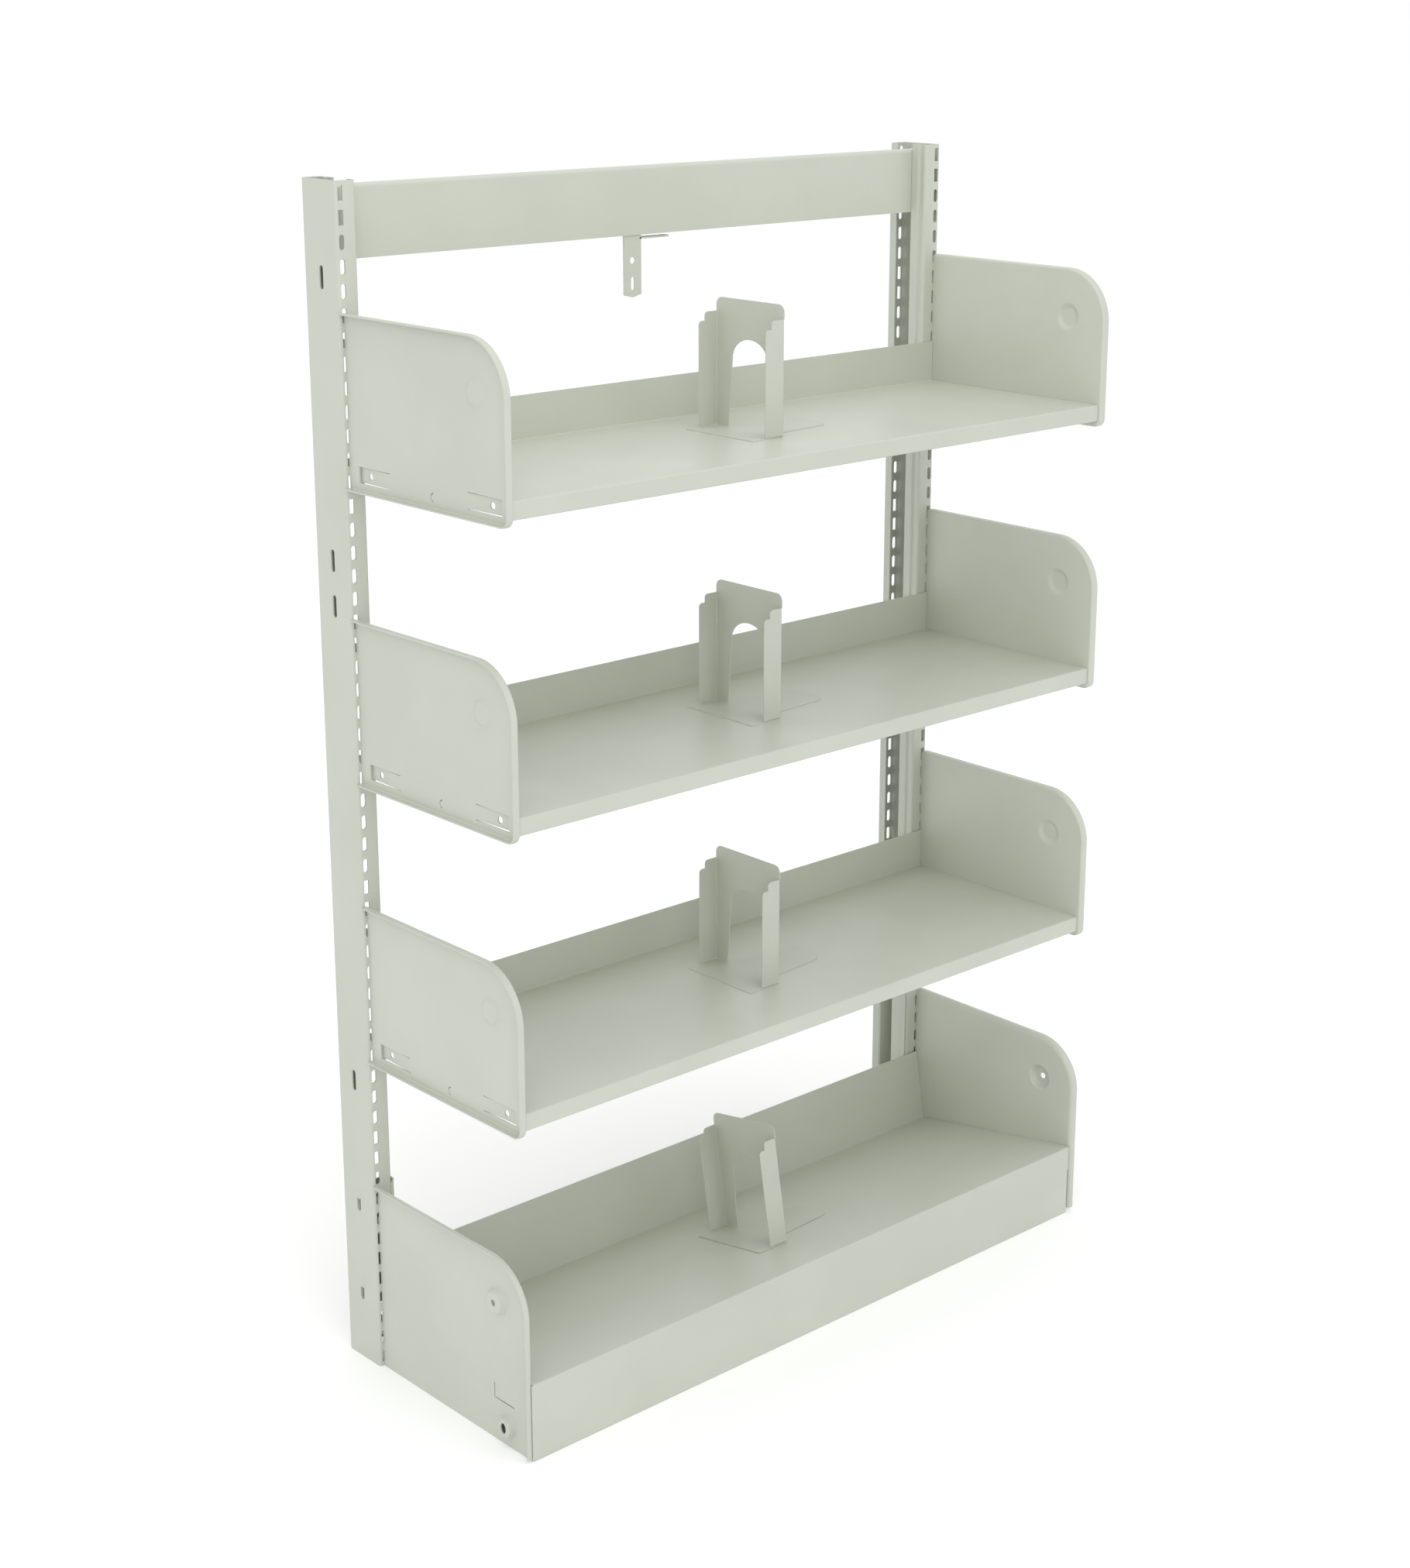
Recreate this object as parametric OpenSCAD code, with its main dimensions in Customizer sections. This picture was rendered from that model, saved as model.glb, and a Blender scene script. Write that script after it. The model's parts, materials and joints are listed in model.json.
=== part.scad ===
// Single-faced bay of slotted-post library shelving: two posts, a top beam, three hung
// shelves, a tilted base shelf and a sliding book support on each.
// X runs along the shelves, -Y is the front, and the origin is on the floor at the middle.

/* [Bay] */
// Distance between the outer faces of the posts
bay_w = 914.4; // [600:0.1:1220]
// Distance from one slot of a post to the next, which all heights follow
pitch = 25.4; // [24:0.1:27]
// Number of slots in the height of a post
slot_count = 54; // [48:1:60]

/* [Posts] */
// Depth of a post's section, front to back
post_d = 62; // [56:0.5:70]
// Width of a post's section, along the shelves
post_w = 25.4; // [24:0.1:34]
// Thickness of a post's sheet
post_t = 1.6; // [1.2:0.1:2]
// Outer radius of a post's bends
post_bend_r = 3; // [2.4:0.1:4]
// Length of the plain lip, which is the left post's front one
plain_lip = 12.4; // [9:0.1:16]
// Length of the beaded lip
bead_lip = 24; // [20:0.1:25]
// Width of a hook slot
slot_w = 6.1; // [5.4:0.1:7]
// Height of a hook slot
slot_h = 16; // [14.8:0.1:18]
// Distance from a post's outer face to the middle of its slots
slot_x = 6.4; // [6.2:0.1:7.6]
// Width of the tall slots in the outer face
web_slot_w = 7; // [6:0.1:9]
// Height of the tall slots in the outer face
web_slot_h = 25.4; // [22:0.1:28]

/* [Top beam] */
// Height of the beam
beam_h = 78.2; // [60:0.1:90]
// Depth of the beam
beam_d = 13.5; // [10:0.1:15]
// Thickness of the beam's sheet
beam_t = 1.5; // [1:0.1:2]
// Outer radius along the beam's top edges
beam_bend_r = 4.5; // [3:0.1:5]
// Distance from the top of the posts to the top of the beam
beam_drop = 6.1; // [4:0.1:20]
// Width of the strap that hangs below the beam
strap_w = 26; // [20:0.5:36]
// Length of the strap below the beam
strap_drop = 71.5; // [60:0.5:90]
// Length of the tab that runs along under the beam
tab_l = 44; // [30:0.5:60]

/* [Shelf brackets] */
// Height of a bracket
bracket_h = 187.8; // [176:0.1:196]
// Reach of a bracket in front of the posts
bracket_d = 281.5; // [240:0.1:282]
// Radius of a bracket's upper front corner
bracket_r = 62; // [40:0.5:80]
// Radius of a bracket's lower front corner
toe_r = 11; // [9:0.5:16]
// Thickness of a bracket's sheet
bracket_t = 1.5; // [1.2:0.1:2]
// Outer radius of a bracket's edge bend
edge_bend_r = 2.8; // [2.2:0.1:3.2]
// Distance that a bracket's edge stands proud of a post's outer face
edge_proud = 2.1; // [1:0.1:4]
// Number of slots from one shelf to the next
shelf_slots = 13; // [12:1:14]
// Number of slots above the highest hook
top_slots = 5; // [3:1:7]

/* [Shelves] */
// Distance from a bracket's top to the shelf's surface
shelf_sink = 160.2; // [150:0.1:162]
// Thickness of a shelf's sheet
shelf_t = 1; // [0.8:0.1:1.3]
// Height of a shelf's front face
shelf_lip = 19.9; // [18:0.1:24]
// Height of the upstand along a shelf's back
upstand_h = 50; // [30:0.5:70]
// Distance from the bracket's front edge back to the shelf's front face
shelf_inset = 3.3; // [3:0.1:8]

/* [Base] */
// Reach of the base in front of the posts
base_d = 282.5; // [282:0.1:330]
// Height of a base bracket
base_h = 232.9; // [225:0.1:240]
// Outer radius of a base bracket's edge bend
base_bend_r = 6; // [3:0.1:8]
// Height of the base shelf's front edge
base_front_h = 94.2; // [90:0.1:110]
// Height of the base shelf's surface at its back corner
base_back_h = 48; // [44:0.1:56]
// Height of the upstand along the base shelf's back, measured square to the surface
base_upstand = 95; // [70:0.5:100]
// Thickness of the base shelf's sheet
base_t = 1.2; // [1:0.1:1.5]
// Height of the stiffener's top edge above the floor
stiffener_top = 234; // [226:1:240]
// Height of the stiffener's bottom edge above the floor
stiffener_low = 76; // [64:1:84]

/* [Book supports] */
// Depth of a support, along the shelf's depth
support_w = 112; // [100:0.5:130]
// Height of a support
support_h = 148.6; // [138:0.1:152]
// Thickness of a support's sheet
support_t = 1; // [0.8:0.1:1.3]
// Length of the foot beside a support's plate
foot_l = 47.5; // [38:0.5:60]
// Height of the arched opening, which is the length of its tongue on the shelf
arch_h = 104; // [92:0.5:112]
// Width of the arched opening at its root
arch_w = 71; // [60:0.5:78]
// Width of a support's side wings
wing_w = 28.5; // [22:0.5:34]
// Distance from the middle of the bay to a support's plate
support_x = 7.3; // [-60:0.1:60]
// Distance from the posts' front face to the middle of a support
support_y = 133; // [110:0.5:150]
// The same distance for the support on the base shelf
base_support_y = 152; // [110:0.5:160]

/* [Hidden] */
$fn = 48;
bend_steps = 5;
overrun = 1;
fit_gap = 0.3;

// Heights and depths that several pieces share
post_h = slot_count * pitch;
front_y = -(base_d + post_d) / 2;
post_y = front_y + base_d;
web_slots = [4, 16, 18, 40, 46, 50.5];
bolted_slots = [46, 50.5];
square_slot_period = 6;
square_slots = 2;

// Lip details of the posts
bead_from = 2.4;
bead_w = 7.8;
bead_deep = 2.4;
bead_slope = 1.4;

// Distances from the brackets' front edges back to what their plates carry
disc_inset = 56.5;
base_disc_inset = 57.5;
low_disc_inset = 44.4;
front_tongue_inset = 17.5;
moon_inset = 132.7;
front_ledge_inset = 32.5;

// Bracket plate: it stands in the middle of the slots, and its edge bends away from the bay
plate_out = slot_x - bracket_t / 2;
plate_in = slot_x + bracket_t / 2;
inner_x = bay_w / 2 - plate_in;
hook_neck_h = 8.6;
hook_reach = 3.6;
hook_drop = 5;
edge_lap = 3.2;
lower_lug_slots = 6;
top_over_slot = 3.1;
bracket_tops = [for (i = [0:2]) post_h - (top_slots + i * shelf_slots) * pitch - pitch / 2 + top_over_slot];

// Stamped discs of the brackets, placed from the bracket's front edge and top edge
disc_y = bracket_d - disc_inset;
base_disc_y = base_d - base_disc_inset;
disc_drop = 58.3;
disc_r = 17.5;
disc_flat_r = 11;
disc_h = 3;
base_disc_h = 7.4;
base_hole_r = 4;
low_disc_y = base_d - low_disc_inset;
low_disc_z = 25.1;
low_disc_r = 14;
low_disc_flat_r = 10.5;
low_hole_r = 4.5;
low_hole_h = 13;

// Tongues that carry the shelf, pressed towards the bay at their free ends
tongue_h = 16.4;
tongue_l = 56.2;
tongue_out = 3.2;
tongue_slit = 0.8;
back_tongue_y = 17.3;
front_tongue_y = bracket_d - front_tongue_inset;
tongue_hole_r = 3.8;
tongue_hole_in = 17.3;
moon_y = bracket_d - moon_inset;
moon_r = 5;
moon_drop = 175;
moon_w = 1.2;

// Shelf pan
pan_gap = 0.35;
pan_bend_r = 1.8;
pan_back = 1.2;
pan_return = 12;
pan_flange = 15;
pan_notch_gap = 2;

// Base shelf and what carries it
base_back_y = 19.6;
base_slope = atan((base_front_h - base_back_h) / (base_d - base_back_y));
base_flange = 13;
flange_setback = 4;
flange_from = pan_return + flange_setback - base_d;
flange_to = -base_back_y - flange_setback;
base_reach = inner_x - pan_gap;
base_end_r = 4;
base_end_l = 14;
base_end_low = 61.6;
base_face_over = 2.4;
base_toe_up = 4.5;
ledge_w = 11;
ledge_h = 18;
front_ledge_y = base_d - front_ledge_inset;
front_ledge_l = 36;
back_ledge_y = 70;
ledge_slit = 1.4;
ledge_slit_h = 19;
front_slit_z = 51.5;

// Stiffener, its bolts and nuts
stiffener_t = 1.9;
stiffener_proud = 4.1;
stiffener_slope_w = 11.3;
stiffener_bend_r = 2.4;
ear_drop = 7;
bolt_r = 2.5;
bolt_gap = 0.05;
bolt_head_r = 6;
bolt_head_h = 2;
bolt_rise = 8.5;
bolt_neck_share = 0.6;
nut_r = 4.6;
nut_h = 4.7;

// Levelling foot
foot_plate_z = 36;
foot_plate_t = 3;
foot_nut_h = 8;
foot_nut_r = 9;
screw_r = 5;
screw_top = 62;
pad_r = 9.5;
pad_h = 6;
foot_x = 12.4;

// Strap below the beam
strap_t = 2;
strap_x = -44;
strap_grip = 30;
tab_w = 10;
strap_hole_r = 4;
strap_hole_drop = 29;
strap_slot_drop = 55.5;
strap_slot_w = 5.5;
strap_slot_h = 15.5;
strap_tip = 3.1;
tab_drop = 3;

// Details of the book supports
support_top_r = 9;
support_bend_r = 2;
arch_lean_share = 0.81;
arch_straight_share = 0.79;
arch_steps = 16;
wing_top = 132.5;
wing_low_top = 122.5;
wing_step = 19.5;
wing_corner_r = 4.5;
wing_lift = 1;

// Outline of a folded sheet: one side of a path of straight runs joined by bends
function unit(v) = v / norm(v);
function left_of(v) = [-v.y, v.x];
function spin(v, a) = [v.x * cos(a) - v.y * sin(a), v.x * sin(a) + v.y * cos(a)];
function bend(a, b, c, r, side) =
    let (u = unit(b - a), v = unit(c - b), turn = sign(u.x * v.y - u.y * v.x),
         angle = acos(min(1, max(-1, u * v))), start = b - u * r * tan(angle / 2),
         centre = start + turn * r * left_of(u))
    [for (i = [0:bend_steps])
        centre + spin(start - centre, turn * angle * i / bend_steps) * (r - side * turn) / r];
function one_side(p, r, side) =
    let (n = len(p) - 1)
    concat(
        [p[0] + side * left_of(unit(p[1] - p[0]))],
        [for (i = [1:n - 1]) each bend(p[i - 1], p[i], p[i + 1], r, side)],
        [p[n] + side * left_of(unit(p[n] - p[n - 1]))]);
function back_to_front(p) = [for (i = [len(p) - 1:-1:0]) p[i]];

// A folded sheet's section, from the middle line of the sheet and its outer bend radius
module folded(path, thick, outer_r) {
    r = outer_r - thick / 2;
    polygon(concat(one_side(path, r, thick / 2), back_to_front(one_side(path, r, -thick / 2))));
}

// A slot with round ends, upright, centred
module long_slot(w, h) {
    square([w, h - w], center = true);
    translate([0, (h - w) / 2]) circle(d = w);
    translate([0, -(h - w) / 2]) circle(d = w);
}

// A flat drawing in Y and Z, given a thickness along X from x0 to x1
module slab(x0, x1) {
    translate([x0, 0, 0]) rotate([90, 0, 90]) linear_extrude(x1 - x0) children();
}

// A drawing in X and Z, cut along Y from y0 to y1
module along_y(y0, y1) {
    translate([0, y1, 0]) rotate([90, 0, 0]) linear_extrude(y1 - y0) children();
}

// Puts a piece of the left post's side in place, and its turned or mirrored twin
module at_left() { translate([-bay_w / 2, post_y, 0]) children(); }
module at_right_turned() { translate([bay_w / 2, post_y + post_d, 0]) rotate([0, 0, 180]) children(); }
module at_right() { mirror([1, 0, 0]) at_left() children(); }

// A post: an open section with a plain lip at its front and a beaded lip at its back
module post() {
    m = post_t / 2;
    lip_x = post_w - m;
    bead_y = post_d - bead_from;
    color("#c9cfc0") difference() {
        linear_extrude(post_h) folded([
            [lip_x, plain_lip], [lip_x, m], [m, m], [m, post_d - m], [lip_x, post_d - m],
            [lip_x, bead_y - post_bend_r], [lip_x - bead_deep, bead_y - post_bend_r - bead_slope],
            [lip_x - bead_deep, bead_y - post_bend_r - bead_w + bead_slope],
            [lip_x, bead_y - post_bend_r - bead_w], [lip_x, post_d - bead_lip]
        ], post_t, post_bend_r);
        along_y(-overrun, post_d + overrun)
            for (i = [0:slot_count - 1])
                translate([slot_x, post_h - i * pitch - pitch / 2])
                    if (i % square_slot_period < square_slots) square([slot_w, slot_h], center = true);
                    else long_slot(slot_w, slot_h);
        slab(-overrun, post_t + overrun)
            for (i = web_slots)
                translate([post_d / 2, post_h - i * pitch]) long_slot(web_slot_w, web_slot_h);
    }
}

// Channel inside the foot of a post, bolted to its outer wall, with brims over both lips
module base_stiffener() {
    m = stiffener_t / 2;
    out_x = post_w + stiffener_proud;
    near_y = plain_lip + fit_gap + m;
    far_y = post_d - bead_lip - fit_gap - m;
    color("#c3cabb") difference() {
        translate([0, 0, stiffener_low]) linear_extrude(stiffener_top - stiffener_low) difference() {
            folded([[post_w - post_bend_r / 2, m], [out_x - m, m], [out_x - m, near_y],
                    [post_t + m, near_y], [post_t + m, far_y], [out_x - m, far_y],
                    [out_x - m, post_d - stiffener_slope_w],
                    [post_w + fit_gap + m, post_d - stiffener_t]], stiffener_t, stiffener_bend_r);
            translate([post_w - post_bend_r, post_bend_r]) circle(post_bend_r + bolt_gap);
        }
        along_y(-overrun, stiffener_t + fit_gap)
            polygon([[out_x, stiffener_top], [post_w - post_bend_r, stiffener_top - ear_drop],
                     [post_w - post_bend_r, stiffener_top + overrun], [out_x, stiffener_top + overrun]]);
        slab(-overrun, post_t + stiffener_t + overrun)
            for (i = bolted_slots)
                translate([post_d / 2, post_h - i * pitch]) long_slot(web_slot_w, web_slot_h);
    }
}

// Plate and nut that hold the levelling screw
module foot_plate() {
    x1 = post_w - post_t - bead_deep - fit_gap;
    color("#aeb0ac") difference() {
        union() {
            translate([post_t, post_bend_r, foot_plate_z])
                cube([x1 - post_t, post_d - 2 * post_bend_r, foot_plate_t]);
            translate([foot_x, post_d / 2, foot_plate_z])
                cylinder(r = foot_nut_r, h = foot_plate_t + foot_nut_h, $fn = 6);
        }
        translate([foot_x, post_d / 2, foot_plate_z - overrun])
            cylinder(r = screw_r + bolt_gap, h = foot_plate_t + foot_nut_h + 2 * overrun);
    }
}

// Levelling screw with its round pad
module levelling_foot() {
    color("#8f918e") translate([foot_x, post_d / 2, 0]) {
        cylinder(r = pad_r, h = pad_h);
        cylinder(r = screw_r, h = screw_top);
    }
}

// Hollow beam between the posts' outer walls, open below
module top_beam() {
    m = beam_t / 2;
    y0 = post_d - bead_lip - beam_d;
    z1 = post_h - beam_drop;
    reach = bay_w / 2 - post_t;
    color("#c9cfc0") translate([0, post_y, 0]) slab(-reach, reach)
        folded([[y0 + m, z1 - beam_h], [y0 + m, z1 - m], [y0 + beam_d - m, z1 - m],
                [y0 + beam_d - m, z1 - beam_h]], beam_t, beam_bend_r);
}

// Drilled strap inside the beam's front wall, with a tab bent along under the beam
module beam_hanger() {
    y0 = post_d - bead_lip - beam_d + beam_t;
    z0 = post_h - beam_drop - beam_h;
    color("#c3cabb") translate([strap_x, post_y + y0, z0]) {
        along_y(0, strap_t) difference() {
            polygon([[0, strap_grip], [0, strap_tip - strap_drop], [strap_w / 2, -strap_drop],
                     [strap_w, strap_tip - strap_drop], [strap_w, strap_grip]]);
            translate([strap_w / 2, -strap_hole_drop]) circle(strap_hole_r);
            translate([strap_w / 2, -strap_slot_drop]) long_slot(strap_slot_w, strap_slot_h);
        }
        translate([strap_w - overrun, 0, -tab_drop - strap_t]) cube([tab_l + overrun, tab_w, strap_t]);
    }
}

// Section of a bracket's edge: across from the rim inwards, up along the bay's width
module edge_section(fold_r) {
    folded([[bracket_t / 2, -edge_proud], [bracket_t / 2, slot_x], [fold_r + edge_lap, slot_x]],
        bracket_t, fold_r);
}

// One straight run of a bracket's edge, and one round corner of it
module edge_run(at, inward, length, fold_r) {
    translate(at) rotate([90, 0, inward]) linear_extrude(length) edge_section(fold_r);
}
module edge_corner(at, from, r, fold_r) {
    translate(at) rotate([0, 0, from]) rotate_extrude(angle = 90)
        translate([r, 0]) mirror([1, 0]) edge_section(fold_r);
}

// Takes the square corner off a plate outside a round one
module corner_cut(at, size, r, turn) {
    translate(at) rotate(turn) difference() {
        translate([-size - overrun, 0]) square(size + overrun);
        circle(r);
    }
}

// Lugs of a bracket: two hooks and a straight one, in the slots counted from the top
module lugs(first) {
    for (i = [0, 1])
        translate([0, post_h - (first + i) * pitch - (pitch + slot_h) / 2 + fit_gap])
            polygon([[-overrun, 0], [post_t + fit_gap, 0], [post_t + fit_gap, -hook_drop],
                     [post_t + fit_gap + hook_reach, -hook_drop],
                     [post_t + fit_gap + hook_reach, hook_neck_h], [-overrun, hook_neck_h]]);
    translate([-overrun, post_h - (first + lower_lug_slots) * pitch - (pitch + slot_h) / 2 + fit_gap])
        square([overrun + post_t + fit_gap + hook_reach, hook_neck_h]);
}

// Stamped disc, raised away from the bay by h
module disc_outside(h, r, flat_r) {
    rotate([0, -90, 0]) cylinder(r1 = r, r2 = flat_r, h = h);
}

// Tongue of a bracket that carries the shelf: it leaves the plate at root_y
module tongue(root_y, free_y, top) {
    translate([0, 0, top - tongue_h]) linear_extrude(tongue_h) polygon([
        [plate_out, root_y], [plate_in, root_y],
        [plate_in + tongue_out, free_y], [plate_out + tongue_out, free_y]]);
}

// End plate of a hung shelf; its top is at the given height
module shelf_bracket(top) {
    low = top - bracket_h;
    seat = top - shelf_sink - shelf_t;
    back_root = -back_tongue_y - tongue_l;
    front_root = tongue_l - front_tongue_y;
    hole_z = seat - tongue_h / 2;
    color("#cfd4c8") difference() {
        union() {
            difference() {
                union() {
                    slab(plate_out, plate_in) {
                        difference() {
                            translate([-bracket_d + edge_bend_r, low + edge_bend_r])
                                square([bracket_d - edge_bend_r, bracket_h - 2 * edge_bend_r]);
                            corner_cut([bracket_r - bracket_d, top - bracket_r],
                                bracket_r, bracket_r - edge_bend_r, 0);
                            corner_cut([toe_r - bracket_d, low + toe_r],
                                toe_r, toe_r - edge_bend_r, 90);
                        }
                        lugs(round((post_h - top) / pitch));
                    }
                    rotate([90, 0, 90]) {
                        edge_run([0, top], -90, bracket_d - bracket_r, edge_bend_r);
                        edge_corner([bracket_r - bracket_d, top - bracket_r], 90, bracket_r, edge_bend_r);
                        edge_run([-bracket_d, top - bracket_r], 0,
                            bracket_h - bracket_r - toe_r, edge_bend_r);
                        edge_corner([toe_r - bracket_d, low + toe_r], 180, toe_r, edge_bend_r);
                        edge_run([toe_r - bracket_d, low], 90, bracket_d - toe_r, edge_bend_r);
                    }
                }
                slab(-overrun, plate_in + overrun) {
                    translate([back_root, seat - tongue_h - tongue_slit])
                        square([tongue_l, tongue_h + 2 * tongue_slit]);
                    translate([-front_tongue_y, seat - tongue_h - tongue_slit])
                        square([tongue_l, tongue_h + 2 * tongue_slit]);
                    translate([-moon_y, top - moon_drop]) difference() {
                        circle(moon_r);
                        circle(moon_r - moon_w);
                        translate([-moon_r - overrun, -moon_r - overrun])
                            square([moon_r + overrun, 2 * moon_r + 2 * overrun]);
                    }
                    translate([-disc_y, top - disc_drop]) circle(disc_r - overrun);
                }
            }
            translate([plate_out + bracket_t, -disc_y, top - disc_drop])
                disc_outside(disc_h + bracket_t, disc_r, disc_flat_r);
            tongue(back_root, -back_tongue_y - tongue_slit, seat);
            tongue(front_root, -front_tongue_y + tongue_slit, seat);
        }
        translate([plate_in + bracket_t / 2, -disc_y, top - disc_drop])
            disc_outside(disc_h + bracket_t / 2, disc_r - bracket_t / 2, disc_flat_r - bracket_t / 2);
        for (y = [-back_tongue_y - tongue_hole_in, -front_tongue_y + tongue_hole_in - tongue_slit])
            translate([-overrun, y, hole_z]) rotate([0, 90, 0])
                cylinder(r = tongue_hole_r, h = plate_in + tongue_out + 2 * overrun);
    }
}

// Shelf pan: front lip with a return, deck and upstand, with ends that turn down
module shelf_pan(top) {
    m = shelf_t / 2;
    z = top - shelf_sink;
    y0 = shelf_inset - bracket_d;
    reach = inner_x - pan_gap;
    color("#c4cabb") translate([0, post_y, 0]) difference() {
        union() {
            slab(-reach, reach) folded([
                [y0 + pan_return, z - shelf_lip + m], [y0 + m, z - shelf_lip + m], [y0 + m, z - m],
                [-pan_back - m, z - m], [-pan_back - m, z + upstand_h]], shelf_t, pan_bend_r);
            for (x = [-reach, reach - shelf_t]) slab(x, x + shelf_t)
                translate([y0 + pan_return + pan_notch_gap, z - m - pan_flange])
                    square([-y0 - pan_return - 2 * pan_notch_gap - pan_back, pan_flange]);
        }
        slab(-reach - overrun, reach + overrun) {
            translate([-back_tongue_y - tongue_l - pan_notch_gap, z - shelf_t - pan_flange])
                square([tongue_l + 2 * pan_notch_gap, pan_flange]);
            translate([-front_tongue_y - pan_notch_gap, z - shelf_t - pan_flange])
                square([tongue_l + 2 * pan_notch_gap, pan_flange]);
        }
    }
}

// Height of the base shelf's surface, y in front of the posts being negative
function deck_z(y) = base_front_h - tan(base_slope) * (y + base_d);

// Ledge inside a base bracket, under the turned-down end of the base shelf
module ledge(y0, length) {
    drop = base_t + base_flange;
    slab(plate_in - bracket_t / 2, plate_in + ledge_w) polygon([
        [y0, deck_z(y0) - drop - ledge_h], [y0 + length, deck_z(y0 + length) - drop - ledge_h],
        [y0 + length, deck_z(y0 + length) - drop], [y0, deck_z(y0) - drop]]);
}

// End plate of the base, which stands on the floor
module base_bracket() {
    color("#cfd4c8") difference() {
        union() {
            difference() {
                union() {
                    slab(plate_out, plate_in) {
                        difference() {
                            translate([-base_d + base_bend_r, 0])
                                square([base_d - base_bend_r, base_h - base_bend_r]);
                            corner_cut([bracket_r - base_d, base_h - bracket_r],
                                bracket_r, bracket_r - base_bend_r, 0);
                        }
                        lugs(ceil((post_h - base_h) / pitch));
                    }
                    rotate([90, 0, 90]) {
                        edge_run([0, base_h], -90, base_d - bracket_r, base_bend_r);
                        edge_corner([bracket_r - base_d, base_h - bracket_r], 90, bracket_r, base_bend_r);
                        edge_run([-base_d, base_h - bracket_r], 0,
                            base_h - bracket_r - base_toe_up, base_bend_r);
                    }
                }
                slab(-overrun, plate_in + overrun) {
                    translate([-base_disc_y, base_h - disc_drop]) circle(disc_r - overrun);
                    translate([-low_disc_y, low_disc_z]) circle(low_disc_r - overrun);
                    translate([-front_ledge_y, front_slit_z]) square([front_ledge_l, ledge_slit]);
                    translate([front_ledge_l - front_ledge_y - ledge_slit, front_slit_z])
                        square([ledge_slit, ledge_slit_h]);
                }
            }
            translate([plate_in, -base_disc_y, base_h - disc_drop])
                disc_outside(base_disc_h + bracket_t, disc_r, disc_flat_r);
            translate([plate_in, -low_disc_y, low_disc_z])
                disc_outside(base_disc_h + bracket_t, low_disc_r, low_disc_flat_r);
            ledge(-front_ledge_y, front_ledge_l);
            ledge(-back_ledge_y, front_ledge_l);
        }
        translate([plate_in + bracket_t / 2, -base_disc_y, base_h - disc_drop]) {
            disc_outside(base_disc_h + bracket_t / 2, disc_r - bracket_t / 2, disc_flat_r - bracket_t / 2);
            rotate([0, -90, 0]) cylinder(r = base_hole_r, h = base_disc_h + 2 * bracket_t);
        }
        translate([plate_in + bracket_t / 2, -low_disc_y, low_disc_z])
            disc_outside(base_disc_h + bracket_t / 2,
                low_disc_r - bracket_t / 2, low_disc_flat_r - bracket_t / 2);
        slab(plate_out - base_disc_h - overrun, plate_in)
            translate([-low_disc_y, low_disc_z]) long_slot(2 * low_hole_r, low_hole_h);
    }
}

// Plan of the base shelf's right end: the face's middle line as it turns back, and the corner
// that is cut off outside its bend
function base_end_path() = [
    [base_reach - base_end_r, base_t / 2 - base_d], [base_reach - base_t / 2, base_t / 2 - base_d],
    [base_reach - base_t / 2, base_end_l - base_d]];
module base_end_corner() {
    p = base_end_path();
    polygon(concat(bend(p[0], p[1], p[2], base_end_r - base_t / 2, -base_t / 2), [
        [base_reach + overrun, base_end_r - base_d], [base_reach + overrun, -base_d - overrun],
        [base_reach - base_end_r, -base_d - overrun]]));
}

// Tilted base shelf: face down to the floor, deck, upstand square to it, and turned-down ends.
// The face's left end is flat and covers the rim's bend. Its right end is bent back, and that
// bend stops well above the floor.
module base_shelf() {
    m = base_t / 2;
    face_top = base_front_h - m * tan(base_slope) - m / cos(base_slope);
    flat_top = face_top - (pan_bend_r - m) * tan((90 + base_slope) / 2);
    up = [sin(base_slope), cos(base_slope)];
    back = [-base_back_y, base_back_h] - m * up + m * [up.y, -up.x];
    tray = [[pan_return - base_d, m], [m - base_d, m], [m - base_d, face_top], back];
    color("#c9cec1") translate([0, post_y, 0]) {
        difference() {
            slab(-base_reach, base_reach)
                folded(concat(tray, [back + (base_upstand + m) * up]), base_t, pan_bend_r);
            translate([0, 0, -overrun]) linear_extrude(base_h) base_end_corner();
            translate([base_reach - base_end_r, -base_d - overrun, -overrun])
                cube([base_end_r + overrun, base_end_l + 2 * overrun, base_end_low + overrun]);
        }
        intersection() {
            translate([0, 0, base_end_low]) linear_extrude(base_h)
                folded(base_end_path(), base_t, base_end_r);
            slab(0, base_reach) polygon(one_side(tray, pan_bend_r - m, 0));
        }
        slab(-base_reach - base_face_over, base_t - base_reach)
            translate([-base_d, pan_bend_r]) square([base_t, flat_top - pan_bend_r]);
        for (x = [-base_reach, base_reach - base_t]) slab(x, x + base_t) polygon([
            [flange_from, deck_z(flange_from) - m], [flange_to, deck_z(flange_to) - m],
            [flange_to, deck_z(flange_to) - base_t - base_flange],
            [flange_from, deck_z(flange_from) - base_t - base_flange]]);
    }
}

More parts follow.
